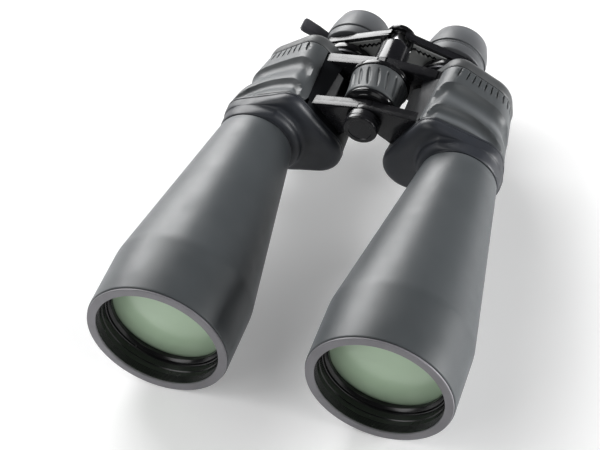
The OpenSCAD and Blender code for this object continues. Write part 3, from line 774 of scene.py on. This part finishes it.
WHEEL_R, RIM_R = 17.6, (local("focus_wheel")[1].x - local("focus_wheel")[0].x) / 2
WHEEL_Y = (203.4, 207.0, 228.0, 231.4)
piece("wheel_hub", *lathe(HINGE, [(5.3, WHEEL_Y[0])] + soft(
    [(5.4, WHEEL_Y[0]), (WHEEL_R - 4.2, WHEEL_Y[0]), (WHEEL_R - 3.6, WHEEL_Y[0] + 0.5),
     (WHEEL_R - 1.0, WHEEL_Y[0] + 1.3), (WHEEL_R - 0.5, WHEEL_Y[0] + 2.2), (WHEEL_R - 0.6, WHEEL_Y[1]),
     (WHEEL_R - 2.4, WHEEL_Y[1])], 0.4)[5:-5] + [
    (WHEEL_R - 2.4, WHEEL_Y[1]), (WHEEL_R - 1.2, WHEEL_Y[2])] + soft(
    [(WHEEL_R - 1.2, WHEEL_Y[2]), (RIM_R, WHEEL_Y[2]), (RIM_R, WHEEL_Y[3]), (RIM_R - 6, WHEEL_Y[3]),
     (RIM_R - 6, WHEEL_Y[2])], 0.6)[5:-5] + [
    (RIM_R - 6, WHEEL_Y[2]), (8.1, WHEEL_Y[2]), (8.1, WHEEL_Y[1] + 4), (5.3, WHEEL_Y[1] + 4)], 128),
    GLOSS, "focus_wheel", ["focus_wheel"], "gloss_black")

WHEEL_MID = (WHEEL_Y[1] + WHEEL_Y[2]) / 2


def wheel_groove(turn, radius, y):
    """Slanted lens-shaped grooves round the rubber."""
    if radius < WHEEL_R - 1.0 or not WHEEL_Y[1] < y < WHEEL_Y[2]:
        return radius
    pitch = 2 * math.pi / 18
    leaning = turn - 0.012 * (y - WHEEL_MID)
    off = abs((leaning / pitch + 0.5) % 1 - 0.5) * pitch * WHEEL_R
    width = 1.9 * math.sqrt(max(0.0, 1 - ((y - WHEEL_MID) / 7.6) ** 2))
    return radius - (0.95 * (1 - smooth_step(0.1, width, off)) if width > 0.1 else 0.0)


rubber_line = [(WHEEL_R - 0.9, WHEEL_Y[1]), (WHEEL_R - 0.35, WHEEL_Y[1] + 0.15), (WHEEL_R, WHEEL_Y[1] + 0.7)]
for k in range(1, 28):
    t = k / 28
    rubber_line.append((WHEEL_R + (RIM_R - 0.8 - WHEEL_R) * t * t, WHEEL_Y[1] + 0.7 + 19.6 * t))
rubber_line += [(RIM_R - 0.8, WHEEL_Y[2] - 0.7), (RIM_R - 1.1, WHEEL_Y[2] - 0.15), (RIM_R - 1.6, WHEEL_Y[2])]
piece("wheel_rubber", *lathe(HINGE, [(WHEEL_R - 2.3, WHEEL_Y[1])] + rubber_line + [
    (WHEEL_R - 1.15, WHEEL_Y[2])], 360, wheel_groove),
    WHEEL_RUBBER, "focus_wheel", ["focus_wheel_rubber"], "housing_rubber", crease=50)


# ---------- eyepiece bridge ----------

ARM_Y, ARM_T, ARM_R = 270.5, 6.0, 18.3
BAND_Y = (269.1, 270.1)
TOOTH_PITCH, TOOTH_H, TEETH_X = 1.6, 1.7, (13, 29)
HUB_R = 10.0
CHEEK_Y, CUP_Y, HUB_END = (271.7, 277.3), (276.2, 279.2), 280.4
HUB_BORE, DISC_R = 4.65, 7.4
TUBE_R = 16.0


def arm_top(x):
    return 26.2 - 0.36 * x


def arm():
    """One arm: a web with a flange along its top, and the ring round the tube."""
    inner = arc(HINGE, HUB_R - 0.4, 58, -34, 16)
    web = arc(EYEPIECE, TUBE_R + 1, 150, 60, 12) + [(30, arm_top(30) - 0.6), (18, arm_top(18) - 0.6)] + inner
    top = [(12, arm_top(12)), (16, arm_top(16)), (30, arm_top(30)), (48.4, arm_top(48.4)),
           (50.2, arm_top(50.2) - 0.5), (50.9, 6.0), (50.0, 4.4), (48.0, 4.2)]
    top += arc(EYEPIECE, TUBE_R + 0.6, 50, 85, 6) + [(30, arm_top(30) - 3.2), (16, arm_top(16) - 3.2)]
    top += arc(HINGE, HUB_R - 0.4, 30, 50, 6) + [(7.6, arm_top(7.6))]
    ring = lathe(EYEPIECE, soft([(TUBE_R + 0.05, ARM_Y), (ARM_R, ARM_Y), (ARM_R, ARM_Y + ARM_T),
                                 (TUBE_R + 0.05, ARM_Y + ARM_T)], 0.4), 128)
    return joined(slab(web, ARM_Y + 1.5, ARM_Y + ARM_T - 0.4, 0.3, 0.3), slab(top, ARM_Y, ARM_Y + ARM_T),
                  ring)


def hub(own):
    """An arm's half of the fork round the focus shaft: its cheek, and own 0 a disc on the shaft,
    own 1 the cup behind it."""
    cup_r = HUB_R - 2.2
    inner_r = cup_r if own else DISC_R - 0.4
    high = 30 if own else 52
    cheek = arc(HINGE, HUB_R, -55, high, 20) + arc(HINGE, inner_r, high, -55, 20)
    if own == 0:
        ring = lathe(HINGE, soft([(HUB_BORE, CUP_Y[0]), (DISC_R, CUP_Y[0]), (DISC_R, CUP_Y[1] - 0.2),
                                  (HUB_BORE, CUP_Y[1] - 0.2)], 0.3), 96)
    else:
        front = CHEEK_Y[1] + 0.15
        ring = lathe(HINGE, [(HUB_BORE, CUP_Y[1]), (cup_r, CUP_Y[1]), (cup_r, front + 0.4),
                             (cup_r + 0.4, front), (HUB_R - 0.6, front), (HUB_R, front + 0.6),
                             (HUB_R, HUB_END - 0.9), (HUB_R - 0.9, HUB_END), (HUB_BORE, HUB_END)], 96)
    return joined(slab(cheek, CHEEK_Y[0], CHEEK_Y[1] + (0.3 if own else 0), 0.4, 0.1), ring)


def zigzag(drop):
    """Points of a toothed edge that falls with the arm, that far below its top."""
    made = []
    x, high = TEETH_X[0], True
    while x <= TEETH_X[1]:
        made.append((x, arm_top(x) - drop + (TOOTH_H if high else 0.0)))
        x, high = x + TOOTH_PITCH, not high
    return made


def band():
    """The toothed band's cover on the arm's front: two plates with a zigzag slot between them."""
    upper = [(11.6, arm_top(11.6) - 2.2), (34, arm_top(34) - 2.2), (34, arm_top(34) - 5.2)]
    upper += zigzag(6.0)[::-1] + [(11.0, arm_top(11.0) - 5.2)]
    lower = [(10.6, arm_top(10.6) - 7.8)] + zigzag(8.6)
    lower += [(32, arm_top(32) - 7.4), (27, 7.0), (22, 2.4), (17, -2.5), (12.5, -4.0), (6.8, -3.2),
              (5.4, -0.5), (5.7, 3.2), (6.8, 7.2), (8.6, 11.8)]
    return joined(*[slab(flat, *BAND_Y, 0.12, 0.12, 1) for flat in (upper, lower)])


for side, sign in SIDES:
    own = 0 if side == "left" else 1
    body = side + "_eyepiece"
    piece("arm_" + side, *arm(), BRIDGE, body, ["eyepiece_arm_" + side], "bridge_black", side=sign)
    piece("hub_" + side, *hub(own), GLOSS, body, (), "bridge_black", side=sign)
    piece("band_" + side, *band(), BAND, body, ["zoom_band_" + side], "band_steel", side=sign)


# ---------- eyepieces ----------

RING_Y = (276.9, 284.0)
RING_R = (local("zoom_ring_left")[1].x - local("zoom_ring_left")[0].x) / 2
COLLAR_Y = (284.3, 287.8)
CUP_FRONT = {"left": 286.2, "right": 284.6}
EYECUP_Y = 289.0
END_Y = local("eyecup_left")[1].y
EYECUP_R = 18.6

drum = lathe(EYEPIECE, [(TUBE_R + 0.05, 262.6), (17.8, 262.6)] + [
    (17.8 + 1.2 * math.sin(math.pi / 2 * k / 6), 262.6 + 1.6 * (1 - math.cos(math.pi / 2 * k / 6)))
    for k in range(1, 7)] + [(19, 267.4), (18.8, 268.0), (18.2, 268.2), (TUBE_R + 0.05, 268.2)], 128)
zoom_ring = lathe(EYEPIECE, soft([(TUBE_R + 0.05, RING_Y[0]), (RING_R - 0.2, RING_Y[0]),
                                  (RING_R, RING_Y[0] + 3.5), (RING_R - 0.2, RING_Y[1]),
                                  (TUBE_R + 0.05, RING_Y[1])], 0.8), 160)
collar = lathe(EYEPIECE, soft([(TUBE_R + 0.05, COLLAR_Y[0]), (RING_R - 0.7, COLLAR_Y[0]),
                               (RING_R - 0.8, COLLAR_Y[1]), (TUBE_R + 0.05, COLLAR_Y[1])], 0.4), 160)


def knurl(turn, radius, y):
    """Fine grip ribs round the dioptre ring."""
    if radius < RING_R - 0.6 or not COLLAR_Y[0] + 0.1 < y < CUP_FRONT["left"] - 0.1:
        return radius
    return radius - 0.15 * (0.5 + 0.5 * math.cos(turn * 90))


grip = lathe(EYEPIECE, soft([(TUBE_R + 0.05, COLLAR_Y[0]), (RING_R - 0.5, COLLAR_Y[0]),
                             (RING_R - 0.5, COLLAR_Y[1]), (TUBE_R + 0.05, COLLAR_Y[1])], 0.2), 540, knurl)


def eyecup_profile(front):
    """A soft rubber cup: a skirt over the ring in front of it, a convex side, and a thin lip
    round the hollow."""
    skirt = RING_R - 0.35
    made = [(13.5, EYECUP_Y), (skirt, EYECUP_Y), (skirt, front + 0.2), (skirt + 0.1, front)]
    made += [(RING_R + 0.1, front), (RING_R + 0.3, front + 0.3)]
    for k in range(25):
        t = k / 24
        y = front + 0.9 + (END_Y - 1.4 - front - 0.9) * t
        made.append((RING_R + 0.3 + (EYECUP_R - 0.15 - RING_R) * (0.2 * t + 0.8 * t * t), y))
    made += soft([(EYECUP_R + 0.1, END_Y - 1.6), (EYECUP_R, END_Y), (EYECUP_R - 2.4, END_Y),
                  (EYECUP_R - 3.4, 300), (EYECUP_R - 4, 293.6), (13.5, 292)], 0.7)[5:-5]
    return made + [(13.5, 292)]


LEVER_RISE, LEVER_REACH = math.radians(30), 19.5


def lever():
    """The lever's paddle, with a foot that meets its ring, and the grip pads on its two faces."""

    def place(out, y, height):
        across = Vector((math.cos(LEVER_RISE), math.sin(LEVER_RISE)))
        up = Vector((-math.sin(LEVER_RISE), math.cos(LEVER_RISE)))
        spot = Vector(EYEPIECE) + across * out + up * height
        return spot.x, y, spot.y

    foot, tip = RING_R - 0.3, RING_R + LEVER_REACH
    edge = [(foot, 278.3), (foot + 2.0, 277.4), (foot + 4.6, 274.4), (foot + 8, 273.1), (tip - 3.4, 272.4),
            (tip - 1.2, 272.7), (tip - 0.1, 274.2), (tip, 277), (tip, 281.4), (tip - 0.6, 283.2),
            (tip - 2.4, 284), (foot + 8, 283.6), (foot + 3, 282.9), (foot, 282.6)]
    body = plate(edge, [(-1.5, 0.7), (-1.3, 0.25), (-0.9, 0), (0.9, 0), (1.3, 0.25), (1.5, 0.7)], place)
    pad = [(foot + 5.6, 276.2), (foot + 9, 274.9), (tip - 3.2, 274.2), (tip - 1.9, 274.8), (tip - 1.6, 277),
           (tip - 1.7, 281.2), (tip - 3.0, 282.3), (foot + 9, 281.9), (foot + 5.6, 281.2)]
    pads = joined(plate(pad, [(1.45, 0), (1.62, 0.15), (1.66, 0.5)], place),
                  plate(pad, [(-1.45, 0), (-1.62, 0.15), (-1.66, 0.5)], place))
    return body, pads


for side, sign in SIDES:
    piece("drum_" + side, *drum, GLOSS, side + "_zoom_ring", ["zoom_drum_" + side], "gloss_black", side=sign)
    piece("ring_" + side, *zoom_ring, EYECUP_RUBBER, side + "_zoom_ring", ["zoom_ring_" + side],
          "eyecup_rubber", side=sign, crease=45)
    cup_body = "left_ocular" if side == "left" else "right_eyepiece"
    eyecup = lathe(EYEPIECE, eyecup_profile(CUP_FRONT[side]), 160)
    piece("cup_" + side, *eyecup, EYECUP_RUBBER, cup_body, ["eyecup_" + side], "eyecup_rubber",
          side=sign, crease=45)
piece("grip_ring", *grip, EYECUP_RUBBER, "dioptre_ring", ["dioptre_ring"], "eyecup_rubber")
piece("collar_right", *collar, EYECUP_RUBBER, "right_eyepiece", ["eyepiece_collar"], "eyecup_rubber",
      side=-1)
paddle, pads = lever()
piece("lever", *paddle, LEVER, "right_zoom_ring", ["zoom_lever"], "lever_plastic", side=-1)
piece("lever_pads", *pads, LEVER_GRAIN, "right_zoom_ring", (), "lever_plastic", side=-1)

# ---------- CAD nodes that keep their shape ----------

# the flint lens, prisms and eyepiece lenses take glass whose colour is a painted reflection
LOOKS = {
    "barrel": TUBE, "flint_lens": LENS_PAINTED_REFLECTION, "first_prism": PRISM_GLASS, "second_prism": PRISM_GLASS,
    "prism_clips": STEEL, "hinge_axle": STEEL, "tripod_insert": BRASS, "cap_washer": CAP,
    "focus_nut": BRASS, "hub_screw": STEEL,
    "eyepiece_tube": TUBE, "zoom_lenses": EYE_GLASS, "eye_lens": EYE_GLASS,
}
for name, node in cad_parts.items():
    if not node.hide_render:
        node.data.materials.clear()
        node.data.materials.append(LOOKS[name.replace("_left", "").replace("_right", "")])
        node.data.shade_smooth()
        node.data.set_sharp_from_angle(angle=math.radians(30))


# ---------- floor, lights and camera ----------

CENTRE = Vector((0, 0, 0.05))


def softbox(name, azimuth, elevation, power, width, height, distance=1.6):
    """A rectangular light that faces the object from an angle measured from +X."""
    a, e = math.radians(azimuth), math.radians(elevation)
    way = Vector((math.cos(a) * math.cos(e), math.sin(a) * math.cos(e), math.sin(e)))
    data = bpy.data.lights.new(name, "AREA")
    data.energy = power
    data.shape = "RECTANGLE"
    data.size, data.size_y = width, height
    made = bpy.data.objects.new(name, data)
    made.location = CENTRE + way * distance
    made.rotation_euler = (-way).to_track_quat("-Z", "Y").to_euler()
    scene.collection.objects.link(made)


softbox("key", 132, 25, 36, 1.15, 1.0)
softbox("right_low", 3, 9, 33, 0.9, 0.34)
softbox("left_front", 238, 28, 4, 0.7, 0.7)
softbox("left_high", 208, 38, 6, 0.7, 0.7)
softbox("right_high", 330, 48, 2.5, 0.6, 0.6)

floor_mesh = bpy.data.meshes.new("floor")
FLOOR_REACH = 6.0
floor_mesh.from_pydata([(x * FLOOR_REACH, y * FLOOR_REACH, 0)
                        for x, y in ((-1, -1), (1, -1), (1, 1), (-1, 1))], [], [(0, 1, 2, 3)])
floor = bpy.data.objects.new("floor", floor_mesh)
floor_mesh.materials.append(material("floor_white", (0.9, 0.9, 0.9), 0.9,
                                     Emission_Color=(1, 1, 1, 1), Emission_Strength=0.22))
scene.collection.objects.link(floor)

world = bpy.data.worlds.new("studio")
world.use_nodes = True
world.node_tree.nodes["Background"].inputs["Color"].default_value = (1, 1, 1, 1)
world.node_tree.nodes["Background"].inputs["Strength"].default_value = 0.03
scene.world = world
scene.view_settings.view_transform = "Standard"

# camera: above and to one side of the objectives, rolled a little
AIM = Vector((0.030477, -0.152, 0.170945))
AZIMUTH, ELEVATION, ROLL = math.radians(22.885), math.radians(46.396), math.radians(-5.801)
DISTANCE = 0.87982
back = Vector((math.sin(AZIMUTH) * math.cos(ELEVATION), -math.cos(AZIMUTH) * math.cos(ELEVATION),
               math.sin(ELEVATION)))
right = (-back).cross(Vector((0, 0, 1))).normalized()
up = right.cross(-back)
across = math.cos(ROLL) * right + math.sin(ROLL) * up
upward = -math.sin(ROLL) * right + math.cos(ROLL) * up
camera_data = bpy.data.cameras.new("camera")
camera_data.lens = 102.26
camera_data.sensor_width = 36
camera = bpy.data.objects.new("camera", camera_data)
camera.matrix_world = Matrix.Translation(AIM + back * DISTANCE) @ Matrix(
    (across, upward, back)).transposed().to_4x4()
scene.collection.objects.link(camera)
scene.camera = camera
